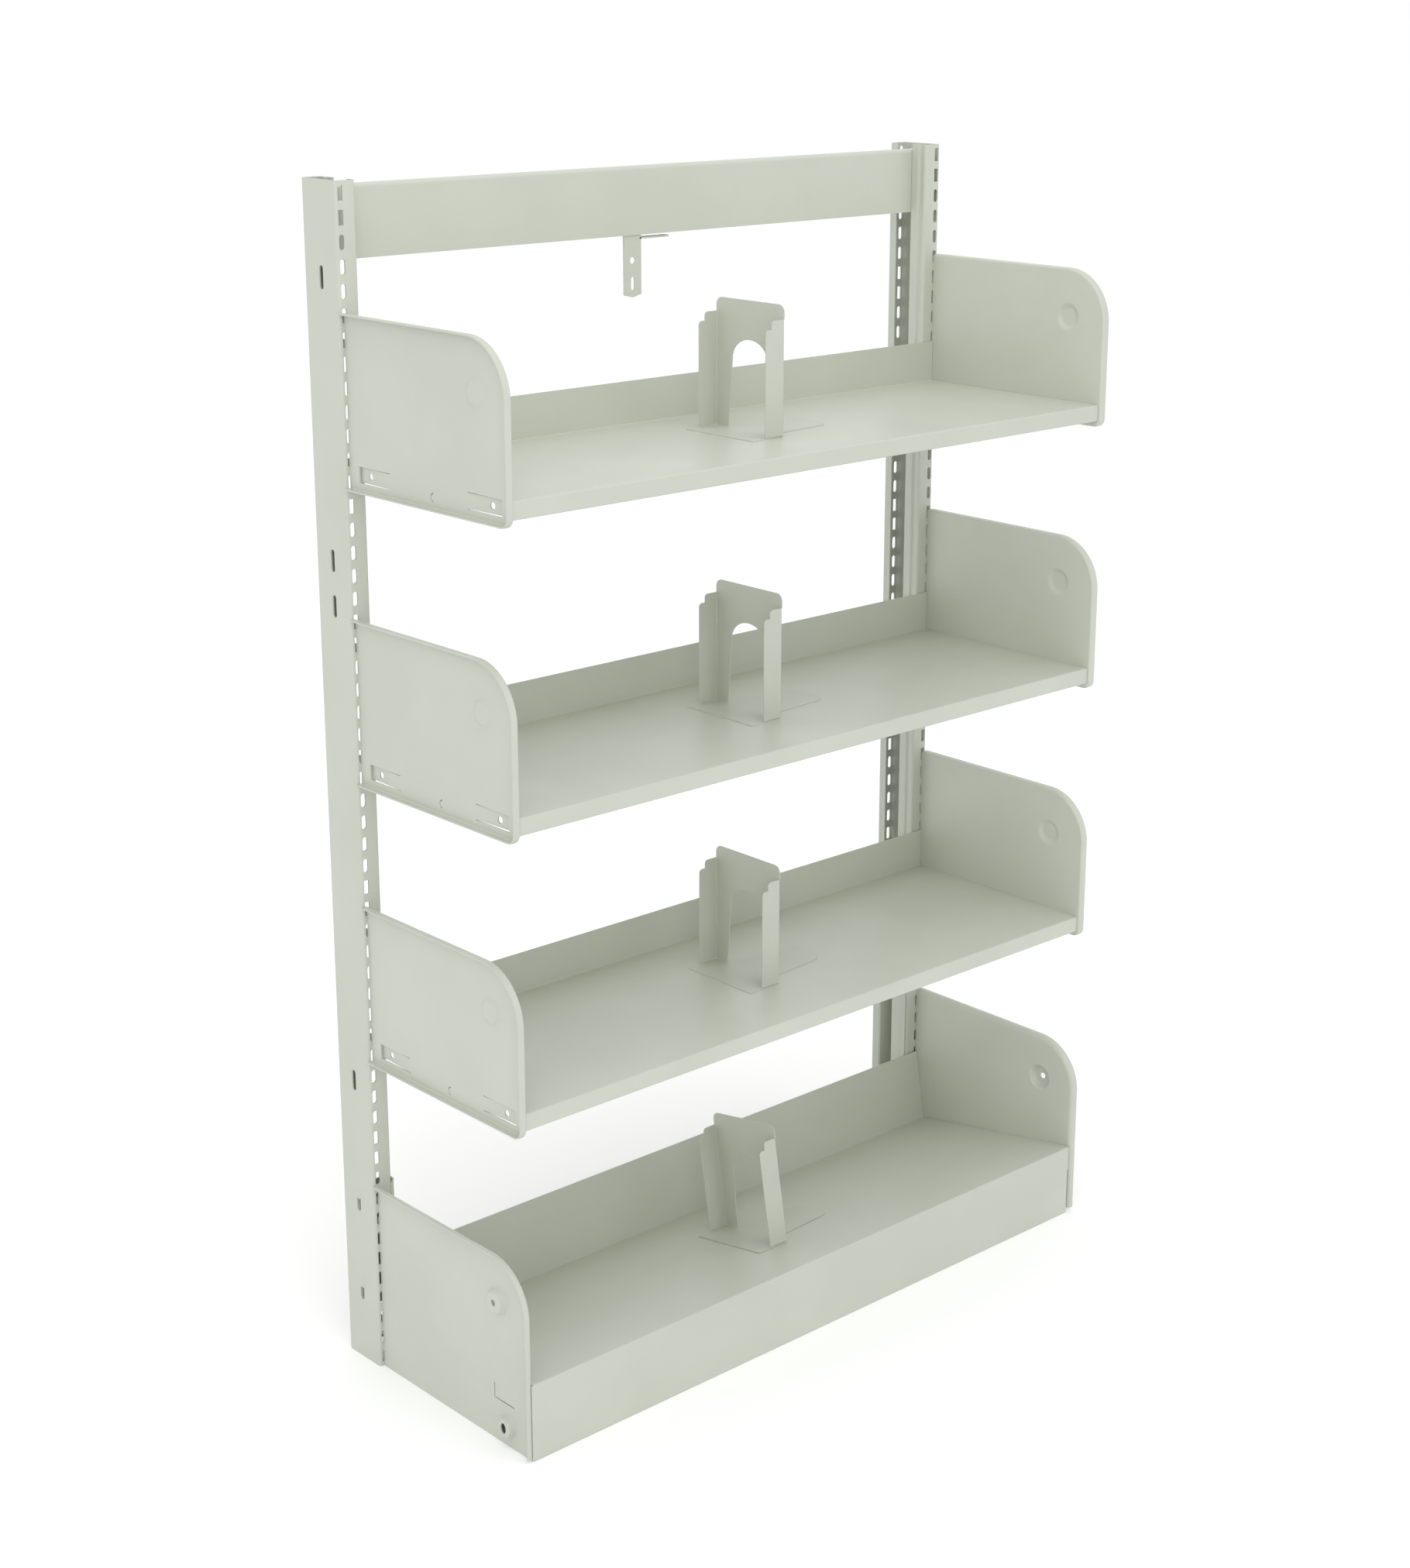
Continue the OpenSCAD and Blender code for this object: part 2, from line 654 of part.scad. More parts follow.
// Bolts through the posts' outer walls, and their nuts inside the stiffeners
module at_bolts() {
    for (i = bolted_slots) {
        at_left() translate([0, post_d / 2, post_h - i * pitch + bolt_rise]) rotate([0, 90, 0]) children();
        at_right() translate([0, post_d / 2, post_h - i * pitch + bolt_rise]) rotate([0, 90, 0]) children();
    }
}
module base_bolts() {
    color("#b9beb2") at_bolts() {
        translate([0, 0, -bolt_head_h])
            cylinder(r1 = bolt_neck_share * bolt_head_r, r2 = bolt_head_r, h = bolt_head_h);
        cylinder(r = bolt_r, h = post_t + stiffener_t + nut_h + overrun);
    }
}
module base_nuts() {
    color("#9fa29c") at_bolts() translate([0, 0, post_t + stiffener_t]) difference() {
        cylinder(r = nut_r, h = nut_h, $fn = 6);
        translate([0, 0, -overrun]) cylinder(r = bolt_r + bolt_gap, h = nut_h + 2 * overrun);
    }
}

// Outline of the arched opening, and of the tongue that was cut from it
module arch(h) {
    top_half = arch_lean_share * arch_w / 2;
    rise = arch_straight_share * h;
    polygon(concat(
        [[-arch_w / 2, 0]],
        [for (i = [0:arch_steps])
            [-top_half * cos(180 * i / arch_steps), rise + (h - rise) * sin(180 * i / arch_steps)]],
        [[arch_w / 2, 0]]));
}

// Sliding book support: foot, plate with wings, and tongue, all of one sheet
module book_support() {
    m = support_t / 2;
    half = support_w / 2;
    color("#b9c0af") {
        difference() {
            linear_extrude(support_h) folded([
                [-wing_w, m - half], [-m, m - half], [-m, half - m], [-wing_w, half - m]],
                support_t, support_bend_r);
            slab(-support_bend_r - overrun, overrun) arch(arch_h);
            slab(-support_bend_r - overrun, overrun) for (s = [0, 1]) mirror([s, 0])
                translate([half - support_top_r, support_h - support_top_r]) difference() {
                    square(support_top_r + overrun);
                    circle(support_top_r);
                }
            along_y(-half - overrun, half + overrun) {
                translate([-wing_w - overrun, -overrun])
                    square([wing_w + overrun - support_t, wing_lift + overrun]);
                translate([-wing_w - overrun, wing_top])
                    square([wing_w + overrun - support_t, support_h - wing_top + overrun]);
                translate([-wing_w - overrun, wing_low_top])
                    square([wing_w + overrun - wing_step, support_h - wing_low_top + overrun]);
                wing_corner(-wing_step, wing_top);
                wing_corner(-wing_w, wing_low_top);
            }
        }
        translate([-foot_l, -half, 0]) cube([foot_l, support_w, support_t]);
        translate([-overrun, 0, 0]) rotate([0, 0, -90]) linear_extrude(support_t) arch(arch_h + overrun);
    }
}
module wing_corner(x, z) {
    translate([x + wing_corner_r, z - wing_corner_r]) difference() {
        translate([-wing_corner_r - overrun, 0]) square(wing_corner_r + overrun);
        circle(wing_corner_r);
    }
}
module on_shelf(top) {
    translate([support_x, post_y - support_y, top - shelf_sink]) book_support();
}

at_left() post();  // upright_left
at_right_turned() post();  // upright_right
at_left() base_stiffener();  // base_stiffener_left
at_right_turned() base_stiffener();  // base_stiffener_right
at_left() foot_plate();  // foot_plate_left
at_right_turned() foot_plate();  // foot_plate_right
at_left() levelling_foot();  // levelling_foot_left
at_right_turned() levelling_foot();  // levelling_foot_right
top_beam();
beam_hanger();
at_left() shelf_bracket(bracket_tops[0]);  // shelf_bracket_left_1
at_left() shelf_bracket(bracket_tops[1]);  // shelf_bracket_left_2
at_left() shelf_bracket(bracket_tops[2]);  // shelf_bracket_left_3
at_right() shelf_bracket(bracket_tops[0]);  // shelf_bracket_right_1
at_right() shelf_bracket(bracket_tops[1]);  // shelf_bracket_right_2
at_right() shelf_bracket(bracket_tops[2]);  // shelf_bracket_right_3
shelf_pan(bracket_tops[0]);  // shelf_1
shelf_pan(bracket_tops[1]);  // shelf_2
shelf_pan(bracket_tops[2]);  // shelf_3
at_left() base_bracket();  // base_bracket_left
at_right() base_bracket();  // base_bracket_right
base_shelf();
base_bolts();
base_nuts();
on_shelf(bracket_tops[0]);  // book_support_1
on_shelf(bracket_tops[1]);  // book_support_2
on_shelf(bracket_tops[2]);  // book_support_3
translate([support_x, post_y - base_support_y, deck_z(-base_support_y) + fit_gap])  // book_support_4
        rotate([-base_slope, 0, 0]) book_support();
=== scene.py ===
import json
import math
import bmesh
import bpy
import numpy as np
from mathutils import Matrix, Vector
from mathutils.geometry import tessellate_polygon


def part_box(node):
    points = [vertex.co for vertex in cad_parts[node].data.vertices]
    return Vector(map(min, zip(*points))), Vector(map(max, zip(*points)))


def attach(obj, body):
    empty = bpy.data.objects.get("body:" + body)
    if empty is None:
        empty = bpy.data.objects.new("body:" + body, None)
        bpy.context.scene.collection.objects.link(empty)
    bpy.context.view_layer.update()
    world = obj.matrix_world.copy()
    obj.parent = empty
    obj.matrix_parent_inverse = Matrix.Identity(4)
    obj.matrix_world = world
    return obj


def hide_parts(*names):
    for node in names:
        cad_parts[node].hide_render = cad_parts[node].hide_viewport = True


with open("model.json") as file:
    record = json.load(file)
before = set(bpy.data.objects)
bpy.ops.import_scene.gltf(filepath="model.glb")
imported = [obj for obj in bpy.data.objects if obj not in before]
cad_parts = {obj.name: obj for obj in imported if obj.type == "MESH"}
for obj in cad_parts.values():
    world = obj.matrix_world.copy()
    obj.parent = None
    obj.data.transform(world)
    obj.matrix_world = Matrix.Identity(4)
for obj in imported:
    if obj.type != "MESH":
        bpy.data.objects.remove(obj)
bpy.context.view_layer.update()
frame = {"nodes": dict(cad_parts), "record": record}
mm = 0.001
print("frame loaded:", len(frame["nodes"]), "nodes")


# Helpers for colour and nodes
def linearColour(hexText):
    # sRGB hex to linear RGBA, by the sRGB curve
    c = np.array([int(hexText[i:i + 2], 16) for i in (1, 3, 5)]) / 255
    c = np.where(c <= 0.04045, c / 12.92, ((c + 0.055) / 1.055) ** 2.4)
    return (*c.tolist(), 1.0)


def emptyTree(owner):
    # the node tree of a material or a world, without the nodes that it starts with
    owner.use_nodes = True
    owner.node_tree.nodes.clear()
    return owner.node_tree


def addNode(tree, kind, settings=None, **links):
    # One node, with its settings, fixed inputs and links. An input goes by its name, with _ for a space,
    # or by _ and its number. A link is (node, output).
    node = tree.nodes.new(kind)

    def socket(key):
        return node.inputs[int(key[1:]) if key[1:].isdigit() else key.replace("_", " ")]

    for key, value in (settings or {}).items():
        if hasattr(node, key):
            setattr(node, key, value)
        else:
            socket(key).default_value = value
    for key, (source, output) in links.items():
        tree.links.new(source.outputs[output], socket(key))
    return node


# Materials
powderCoat = {
    "colour": "#C8CCC0",       # pale grey-green
    "shade": "#C4C8BC",        # where the film is a little thicker
    "cloudSize": 140,          # mm, the slow drift of the film's thickness over a panel
    "cloudDetail": 3.0,
    "cloudRange": (0.35, 0.65),     # noise values between which the colour drifts to the shade
    "peelSize": 3.0,           # mm, orange peel; the real 1 mm is too fine to show, so it is drawn coarser
    "peelDetail": 2.0,
    "peelHeight": 0.012,       # mm
    "peelStrength": 0.35,
    "gritSize": 0.9,           # mm, grain of the cured powder, also drawn coarser than it is
    "gritDetail": 1.0,
    "gritRange": (0.3, 0.7),
    "gritShare": 0.3,          # how far the grain alone takes the colour towards the shade
    "roughness": 0.42,
    "roughnessDrift": 0.07,
    "ior": 1.5,
}


def powderCoatMaterial(name, look):
    # Powder coat on steel: polyester powder sprayed on and baked. It gives a satin sheen,
    # a faint orange peel, and a colour that drifts a little with the film's thickness.
    material = bpy.data.materials.new(name)
    tree = emptyTree(material)
    place = addNode(tree, "ShaderNodeTexCoord")
    cloud, peel, grit = (
        addNode(tree, "ShaderNodeTexNoise",
                {"Scale": 1 / (look[pattern + "Size"] * mm), "Detail": look[pattern + "Detail"]},
                Vector=(place, "Object")) for pattern in ("cloud", "peel", "grit"))
    spread = addNode(tree, "ShaderNodeMapRange",
                     {"From_Min": look["cloudRange"][0], "From_Max": look["cloudRange"][1]},
                     Value=(cloud, "Fac"))
    speck = addNode(tree, "ShaderNodeMapRange",
                    {"From_Min": look["gritRange"][0], "From_Max": look["gritRange"][1],
                     "To_Max": look["gritShare"]}, Value=(grit, "Fac"))
    amount = addNode(tree, "ShaderNodeMath", {"operation": "ADD", "use_clamp": True},
                     _0=(spread, "Result"), _1=(speck, "Result"))
    colour = addNode(tree, "ShaderNodeMix",
                     {"data_type": "RGBA", "_6": linearColour(look["colour"]),
                      "_7": linearColour(look["shade"])}, _0=(amount, 0))
    rough = addNode(tree, "ShaderNodeMapRange",
                    {"To_Min": look["roughness"] - look["roughnessDrift"],
                     "To_Max": look["roughness"] + look["roughnessDrift"]}, Value=(cloud, "Fac"))
    bump = addNode(tree, "ShaderNodeBump",
                   {"Strength": look["peelStrength"], "Distance": look["peelHeight"] * mm},
                   Height=(peel, "Fac"))
    shader = addNode(tree, "ShaderNodeBsdfPrincipled", {"IOR": look["ior"], "Metallic": 0.0},
                     Base_Color=(colour, 2), Roughness=(rough, "Result"), Normal=(bump, "Normal"))
    addNode(tree, "ShaderNodeOutputMaterial", Surface=(shader, "BSDF"))
    return material


zincPlate = {
    "colour": "#A9ABA8",
    "shade": "#8B8D8B",
    "grainSize": 4.0,          # mm
    "roughness": (0.30, 0.50),      # from the smoothest grain to the roughest
}


def zincPlateMaterial(name, look):
    # Zinc plate on turned and pressed steel: a dull grey metal whose grains catch light unevenly
    material = bpy.data.materials.new(name)
    tree = emptyTree(material)
    place = addNode(tree, "ShaderNodeTexCoord")
    grains = addNode(tree, "ShaderNodeTexVoronoi", {"Scale": 1 / (look["grainSize"] * mm)},
                     Vector=(place, "Object"))
    tone = addNode(tree, "ShaderNodeSeparateColor", Color=(grains, "Color"))
    colour = addNode(tree, "ShaderNodeMix",
                     {"data_type": "RGBA", "_6": linearColour(look["colour"]),
                      "_7": linearColour(look["shade"])}, _0=(tone, 0))
    rough = addNode(tree, "ShaderNodeMapRange",
                    {"To_Min": look["roughness"][0], "To_Max": look["roughness"][1]}, Value=(tone, "Green"))
    shader = addNode(tree, "ShaderNodeBsdfPrincipled", {"Metallic": 1.0},
                     Base_Color=(colour, 2), Roughness=(rough, "Result"))
    addNode(tree, "ShaderNodeOutputMaterial", Surface=(shader, "BSDF"))
    return material


paints = {
    "frame_paint": powderCoatMaterial("powder_coat_frame", powderCoat),
    "end_plate_paint": powderCoatMaterial("powder_coat_end_plates", {**powderCoat, "cloudSize": 120}),
    "shelf_paint": powderCoatMaterial("powder_coat_shelves", {**powderCoat, "roughness": 0.38}),
    # the book supports are a little darker than the rest
    "support_paint": powderCoatMaterial("powder_coat_supports",
                                        {**powderCoat, "cloudSize": 60, "colour": "#C1C5B9"}),
    "bolt_paint": powderCoatMaterial("powder_coat_bolts", {**powderCoat, "cloudSize": 20}),
    "zinc_plate": zincPlateMaterial("zinc_plate", zincPlate),
}
slotOf = {part["node"]: part["material_slot"] for part in frame["record"]["subparts"]}
bodyOf = {n: b for b, names in frame["record"]["behaviour"]["bodies"].items() for n in names}
for nodeName, cadObject in frame["nodes"].items():
    cadObject.data.materials.clear()
    cadObject.data.materials.append(paints[slotOf[nodeName]])
print("materials made")


# Shapes: an outline is an array of points in mm, and a surface is such an array and a list of faces
bendSteps = 8                  # faces round a bend of the sheet
circleSteps = 48               # and round a pressed disc
discSteps = 10                 # from the disc's edge to its flat


def arcPoints(centre, r, firstAngle, lastAngle, steps=bendSteps):
    # Points along a part of a circle, with both its ends: the centre plus r times cosine and sine
    a = np.radians(np.linspace(firstAngle, lastAngle, steps + 1))
    return np.array(centre) + r * np.column_stack([np.cos(a), np.sin(a)])


def circlePoints(centre, r, count=circleSteps):
    # The same all the way round, without the first point again at the end
    a = np.linspace(0, 2 * np.pi, count, endpoint=False)
    return np.array(centre) + r * np.column_stack([np.cos(a), np.sin(a)])


def boxPoints(y0, z0, y1, z1):
    # The four corners of an upright rectangle
    return np.array([[y0, z0], [y1, z0], [y1, z1], [y0, z1]], float)


def longSlot(centre, width, height):
    # An upright slot with half-round ends: two half circles, half the width in from the slot's ends
    top = arcPoints([0, (height - width) / 2], width / 2, 0, 180)
    return np.array(centre) + np.concatenate([top, -top])


def smooth(t):
    # 0 to 1 with level ends: three t squared less two t cubed
    t = np.clip(t, 0, 1)
    return t * t * (3 - 2 * t)


def sheetSection(points, thick, outerRadius):
    # Closed outline of a folded sheet: the two parallels of its middle line, half a thickness to each
    # side, where each corner is an arc about one centre and the runs between are straight
    p = np.array(points, float)
    d = np.diff(p, axis=0)
    d /= np.linalg.norm(d, axis=1)[:, None]
    left = np.stack([-d[:, 1], d[:, 0]], 1)
    r = outerRadius - thick / 2

    def parallel(offset):
        parts = [p[:1] + offset * left[:1]]
        for i in range(1, len(p) - 1):
            turn = np.sign(d[i - 1, 0] * d[i, 1] - d[i - 1, 1] * d[i, 0])
            angle = math.acos(np.clip(d[i - 1] @ d[i], -1, 1))
            start = p[i] - d[i - 1] * r * math.tan(angle / 2)
            centre = start + turn * r * left[i - 1]
            arm = (start - centre) * (r - offset * turn) / r
            a = turn * angle * np.linspace(0, 1, bendSteps + 1)
            parts.append(centre + np.stack([arm[0] * np.cos(a) - arm[1] * np.sin(a),
                                            arm[0] * np.sin(a) + arm[1] * np.cos(a)], 1))
        parts.append(p[-1:] + offset * left[-1:])
        return np.concatenate(parts)

    return np.concatenate([parallel(thick / 2), parallel(-thick / 2)[::-1]])


def gridFaces(rows, cols, closed=False, skip=()):
    # Quads between neighbouring rows and columns of a grid; closed joins the last column to the first
    i = np.arange(rows - 1)[:, None] * cols
    j = np.setdiff1d(np.arange(cols if closed else cols - 1), skip)
    k = (j + 1) % cols
    return np.stack([i + j, i + k, i + cols + k, i + cols + j], -1).reshape(-1, 4).tolist()


def alongX(section, x0, x1):
    # A section in Y and Z at x0, and then the same again at x1
    return np.column_stack([np.repeat([x0, x1], len(section)), np.tile(section, (2, 1))])


def foldedShell(section, x0, x1, openRuns=()):
    # A folded section in Y and Z carried along X. Its outline is the one parallel and then the other
    # backwards, so point i lies across the sheet from point last - i. A run in openRuns, counted by the
    # bend before it, is left out together with its part of the end faces, for a flat plate to fill.
    count = len(section)
    cuts = [run * (bendSteps + 1) for run in openRuns]
    faces = gridFaces(2, count, closed=True, skip=cuts + [count - 2 - c for c in cuts])
    starts = [0] + [c + 1 for c in cuts]
    ends = cuts + [count // 2 - 1]
    for first, last in zip(starts, ends):
        cap = list(range(first, last + 1)) + list(range(count - 1 - last, count - first))
        faces += [cap, [i + count for i in cap]]
    return alongX(section, x0, x1), faces


def bendOnly(centre, outerRadius, thick, firstAngle, lastAngle, x0, x1):
    # One bend by itself, carried along X: an outer arc and an inner arc about one centre, open where the
    # flat sheets join it
    section = np.concatenate([arcPoints(centre, outerRadius, firstAngle, lastAngle),
                              arcPoints(centre, outerRadius - thick, firstAngle, lastAngle)[::-1]])
    count = len(section)
    faces = gridFaces(2, count, closed=True, skip=[bendSteps, count - 1])
    return alongX(section, x0, x1), faces + [list(range(count)), list(range(count, 2 * count))]


def flatPlate(outer, holes, x0, x1, bare=(), openHoles=()):
    # A flat sheet in Y and Z between x0 and x1: both faces are filled between the outline and its
    # holes. A wall runs along each outline edge but those numbered in bare, and along each hole but
    # those numbered in openHoles.
    loops = [np.array(outer, float)] + [np.array(h, float) for h in holes]
    flat = np.concatenate(loops)
    n = len(flat)
    fill = np.array(tessellate_polygon([[Vector((a, b, 0)) for a, b in loop] for loop in loops]))
    faces = fill.tolist() + (fill + n).tolist()
    first = 0
    for number, loop in enumerate(loops):
        edges = np.setdiff1d(np.arange(len(loop)), bare if number == 0 else ())
        i, k = first + edges, first + (edges + 1) % len(loop)
        if number - 1 not in openHoles:
            faces += np.stack([i, k, k + n, i + n], -1).tolist()
        first += len(loop)
    return alongX(flat, x0, x1), faces


def turned(part, order):
    # The same shape with its axes exchanged: order gives which of its own columns go to X, Y and Z
    return part[0][:, order], part[1]


def joined(parts):
    # Several (points, faces) as one, each part's face numbers moved past the points before it
    points, faces, first = [], [], 0
    for p, f in parts:
        points.append(p)
        faces += [[first + i for i in face] for face in f]
        first += len(p)
    return np.concatenate(points), faces


# Pieces in the frame
mergeDistance = 2e-6           # m, for points that two parts of a piece share
sharpAngle = 32                # degrees, the least that stays a sharp edge


def makePiece(name, points, faces, node):
    # Makes the mesh, merges its seams, turns its faces outwards, shades its bends smooth, and takes the
    # CAD node's place
    mesh = bpy.data.meshes.new(name)
    mesh.from_pydata(points.tolist(), [], faces)
    bm = bmesh.new()
    bm.from_mesh(mesh)
    bmesh.ops.remove_doubles(bm, verts=bm.verts, dist=mergeDistance)
    bmesh.ops.recalc_face_normals(bm, faces=bm.faces)
    bm.to_mesh(mesh)
    bm.free()
    mesh.polygons.foreach_set("use_smooth", np.ones(len(mesh.polygons), bool))
    mesh.set_sharp_from_angle(angle=math.radians(sharpAngle))
    mesh.materials.append(paints[slotOf[node]])
    piece = bpy.data.objects.new(name, mesh)
    bpy.context.scene.collection.objects.link(piece)
    even = piece.modifiers.new("flat_faces_stay_flat", "WEIGHTED_NORMAL")
    even.keep_sharp = True
    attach(piece, bodyOf[node])
    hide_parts(node)


def cornersOf(node):
    # The low and the high corner of a CAD node's box, in mm
    return [np.array(corner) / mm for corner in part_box(node)]


postLow, postHigh = cornersOf("upright_left")
outerX, frontY, postTop = postLow[0], postLow[1], postHigh[2]
postDepth = postHigh[1] - postLow[1]


def inBay(points):
    # From mm across the bay, mm behind the posts' front and mm above the floor to the frame's metres
    return (points + [0, frontY, 0]) * mm


def onSide(points, side, halfTurn=False):
    # From mm measured off the left post's outer face and front. On the right it is the mirror image,
    # or with halfTurn the same piece turned half round.
    x, y, z = points.T
    if side == "right" and halfTurn:
        y = postDepth - y
    x = outerX + x
    return inBay(np.column_stack([x if side == "left" else -x, y, z]))


# Posts
post = {
    "width": 25.4,
    "sheet": 1.6,
    "bend": 3.0,               # outer radius
    "plainLip": 12.4, "beadLip": 24.0,
    "beadFrom": 2.4, "beadWidth": 7.8, "beadDeep": 2.4, "beadSlope": 1.4,
    "pitch": 25.4,             # from slot to slot
    "slotIn": 6.4, "slotWidth": 6.1, "slotHeight": 16.0,
    "squareEvery": 6, "squareTogether": 2,       # two slots in six have square ends
    "wallSlots": (4, 16, 18, 40, 46, 50.5),      # in slot pitches from the top
    "wallSlotWidth": 7.0, "wallSlotHeight": 25.4,
}


def slotMiddle(number):
    # Height of a hook slot's middle; slot 0 is the highest, half a pitch below the post's top
    return postTop - (number + 0.5) * post["pitch"]


def slottedPost(node, side):
    # A C of folded sheet, one lip with a bead, carried up the post. Its three walls are flat plates with
    # the slots cut out.
    p = post
    d, w, t, r = postDepth, p["width"], p["sheet"], p["bend"]
    m, lip, bead = t / 2, w - t / 2, d - p["beadFrom"] - r
    section = sheetSection([
        [lip, p["plainLip"]], [lip, m], [m, m], [m, d - m], [lip, d - m],
        [lip, bead], [lip - p["beadDeep"], bead - p["beadSlope"]],
        [lip - p["beadDeep"], bead - p["beadWidth"] + p["beadSlope"]],
        [lip, bead - p["beadWidth"]], [lip, d - p["beadLip"]]], t, r)
    halfWidth, halfHeight = p["slotWidth"] / 2, p["slotHeight"] / 2
    slots = []
    for number in range(round(postTop / p["pitch"])):
        y, z = p["slotIn"], slotMiddle(number)
        if number % p["squareEvery"] < p["squareTogether"]:
            slots.append(boxPoints(y - halfWidth, z - halfHeight, y + halfWidth, z + halfHeight))
        else:
            slots.append(longSlot([y, z], p["slotWidth"], p["slotHeight"]))
    wallSlots = [longSlot([d / 2, postTop - number * p["pitch"]], p["wallSlotWidth"], p["wallSlotHeight"])
                 for number in p["wallSlots"]]
    sides = (1, 3)             # the upright edges of each flat, where the bends join it
    parts = [turned(foldedShell(section, 0, postTop, openRuns=(1, 2, 3)), [1, 2, 0]),
             flatPlate(boxPoints(r, 0, d - r, postTop), wallSlots, 0, t, bare=sides)]
    for y0 in (0, d - t):
        wall = flatPlate(boxPoints(r, 0, w - r, postTop), slots, y0, y0 + t, bare=sides)
        parts.append(turned(wall, [1, 0, 2]))
    points, faces = joined(parts)
    makePiece("post_" + side, onSide(points, side, halfTurn=True), faces, node)


for sideName in ("left", "right"):
    slottedPost("upright_" + sideName, sideName)
print("posts made")


# End plates
plate = {
    "sheet": 1.5,
    "middle": 6.4,             # the sheet's middle, from the post's outer face
    "edgeOut": 2.1,            # the rim stands proud of the post by this much
    "bend": 2.8,               # outer radius of the rim's bend on a hung plate
    "baseBend": 6.0,           # the same on the base's plate
    "lap": 3.2,                # how far the rim's own flat reaches past its bend
    "corner": 62.0, "cornerSteps": 24,
    "toe": 11.0, "toeSteps": 12,
    "hookGap": 1.9, "hookReach": 3.6, "hookDrop": 5.0, "hookNeck": 8.6, "hookLift": 0.3,
    "lugDown": 6,              # slots from the upper hook down to the lug
}
hungPlate = {
    "reach": 281.5, "height": 187.8, "discBack": 225.0, "discDown": 58.3,
    "discRadius": 17.5, "discFlat": 10.0, "discHeight": 3.0,
    "seatDown": 161.2, "tongueHeight": 16.4, "tongueLength": 56.2, "tongueOut": 3.2, "slit": 0.8,
    "backTongue": 17.3, "frontTongue": 264.0, "tongueHole": 3.8, "holeIn": 17.3, "holeSteps": 24,
    "moonBack": 148.8, "moonDown": 175.0, "moonRadius": 5.0, "moonWidth": 1.2, "moonSteps": 12,
}
basePlate = {
    "reach": 282.5, "discBack": 225.0, "discDown": 58.3, "discRadius": 17.5, "discFlat": 11.0,
    "discHeight": 7.4, "holeRadius": 4.0, "lowBack": 238.1, "lowUp": 25.1, "lowRadius": 14.0,
    "lowFlat": 10.5, "lowHole": (4.5, 6.5), "toeUp": 4.5,
    "slitBack": 250.0, "slitUp": 51.5, "slitLength": 36.0, "slitHeight": 19.0, "slitWidth": 1.4,
    "ledgeWidth": 11.0, "ledgeDrop": 14.2, "ledgeHeight": 18.0, "backLedge": 70.0,
}
# the base shelf's surface: its height at the front edge and at the back corner, and that corner's y
tilt = {"front": 94.2, "back": 48.0, "backY": -19.6}
deckFall, deckRun = tilt["front"] - tilt["back"], basePlate["reach"] + tilt["backY"]
deckAngle = math.atan2(deckFall, deckRun)


def deckHeight(y):
    # Height of the tilted base shelf's surface: it falls evenly from its front edge to its back corner
    return tilt["front"] - deckFall / deckRun * (y + basePlate["reach"])


def plateSides():
    # The sheet's two faces, measured from the post's outer face
    return plate["middle"] - plate["sheet"] / 2, plate["middle"] + plate["sheet"] / 2


def rimPath(reach, top, low, cornerRadius, toeRadius):
    # The plate's outline from its top back corner round the front: points, and the way inwards at each.
    # With a toe radius it turns under the plate to its back, and with none it stops at its foot.
    def quarter(centre, r, firstAngle, steps):
        return [arcPoints(centre, r, firstAngle, firstAngle + 90, steps),
                -arcPoints((0, 0), 1, firstAngle, firstAngle + 90, steps)]

    corner = quarter([cornerRadius - reach, top - cornerRadius], cornerRadius, 90, plate["cornerSteps"])
    runs = [([[0, top]], [[0, -1]]), corner]
    if toeRadius:
        toe = quarter([toeRadius - reach, low + toeRadius], toeRadius, 180, plate["toeSteps"])
        runs += [toe, ([[0, low]], [[0, 1]])]
    else:
        runs.append(([[-reach, low]], [[1, 0]]))
    return tuple(np.concatenate([np.array(run[k], float) for run in runs]) for k in (0, 1))


def rim(path, inward, bend):
    # The rim's bent section carried along the outline: each section point lies its own distance inwards.
    # The end of its sheet has no wall, because the plate's flat goes on from there.
    half = plate["sheet"] / 2
    section = sheetSection([[half, -plate["edgeOut"]], [half, plate["middle"]],
                            [bend + plate["lap"], plate["middle"]]], plate["sheet"], bend)
    distance, x = section.T
    n, m = len(section), len(path)
    flat = path[:, None, :] + distance[None, :, None] * inward[:, None, :]
    points = np.column_stack([np.tile(x, m), flat.reshape(-1, 2)])
    faces = gridFaces(m, n, closed=True, skip=[n // 2 - 1])
    return points, faces + [list(range(n)), list(range((m - 1) * n, m * n))]


def hookOutline(firstSlot):
    # The back edge from the bottom up: a straight lug, then two hooks that reach down behind the post
    gap, reach, drop, neck = (plate[k] for k in ("hookGap", "hookReach", "hookDrop", "hookNeck"))
    lug, *hooks = (slotMiddle(number) - post["slotHeight"] / 2 + plate["hookLift"]
                   for number in (firstSlot + plate["lugDown"], firstSlot + 1, firstSlot))
    outline = [[0, lug], [gap + reach, lug], [gap + reach, lug + neck], [0, lug + neck]]
    for z in hooks:
        outline += [[0, z], [gap, z], [gap, z - drop], [gap + reach, z - drop],
                    [gap + reach, z + neck], [0, z + neck]]
    return np.array(outline, float)


def plateWithRim(path, inward, bend, corners, firstSlot, holes, openHoles):
    # The flat of an end plate inside its rim: their shared line has no wall, and the seam is merged
    inner = path + (bend + plate["lap"]) * inward
    outer = np.concatenate([inner, np.array(corners, float).reshape(-1, 2), hookOutline(firstSlot)])
    return joined([flatPlate(outer, holes, *plateSides(), range(len(inner) - 1), openHoles),
                   rim(path, inward, bend)])


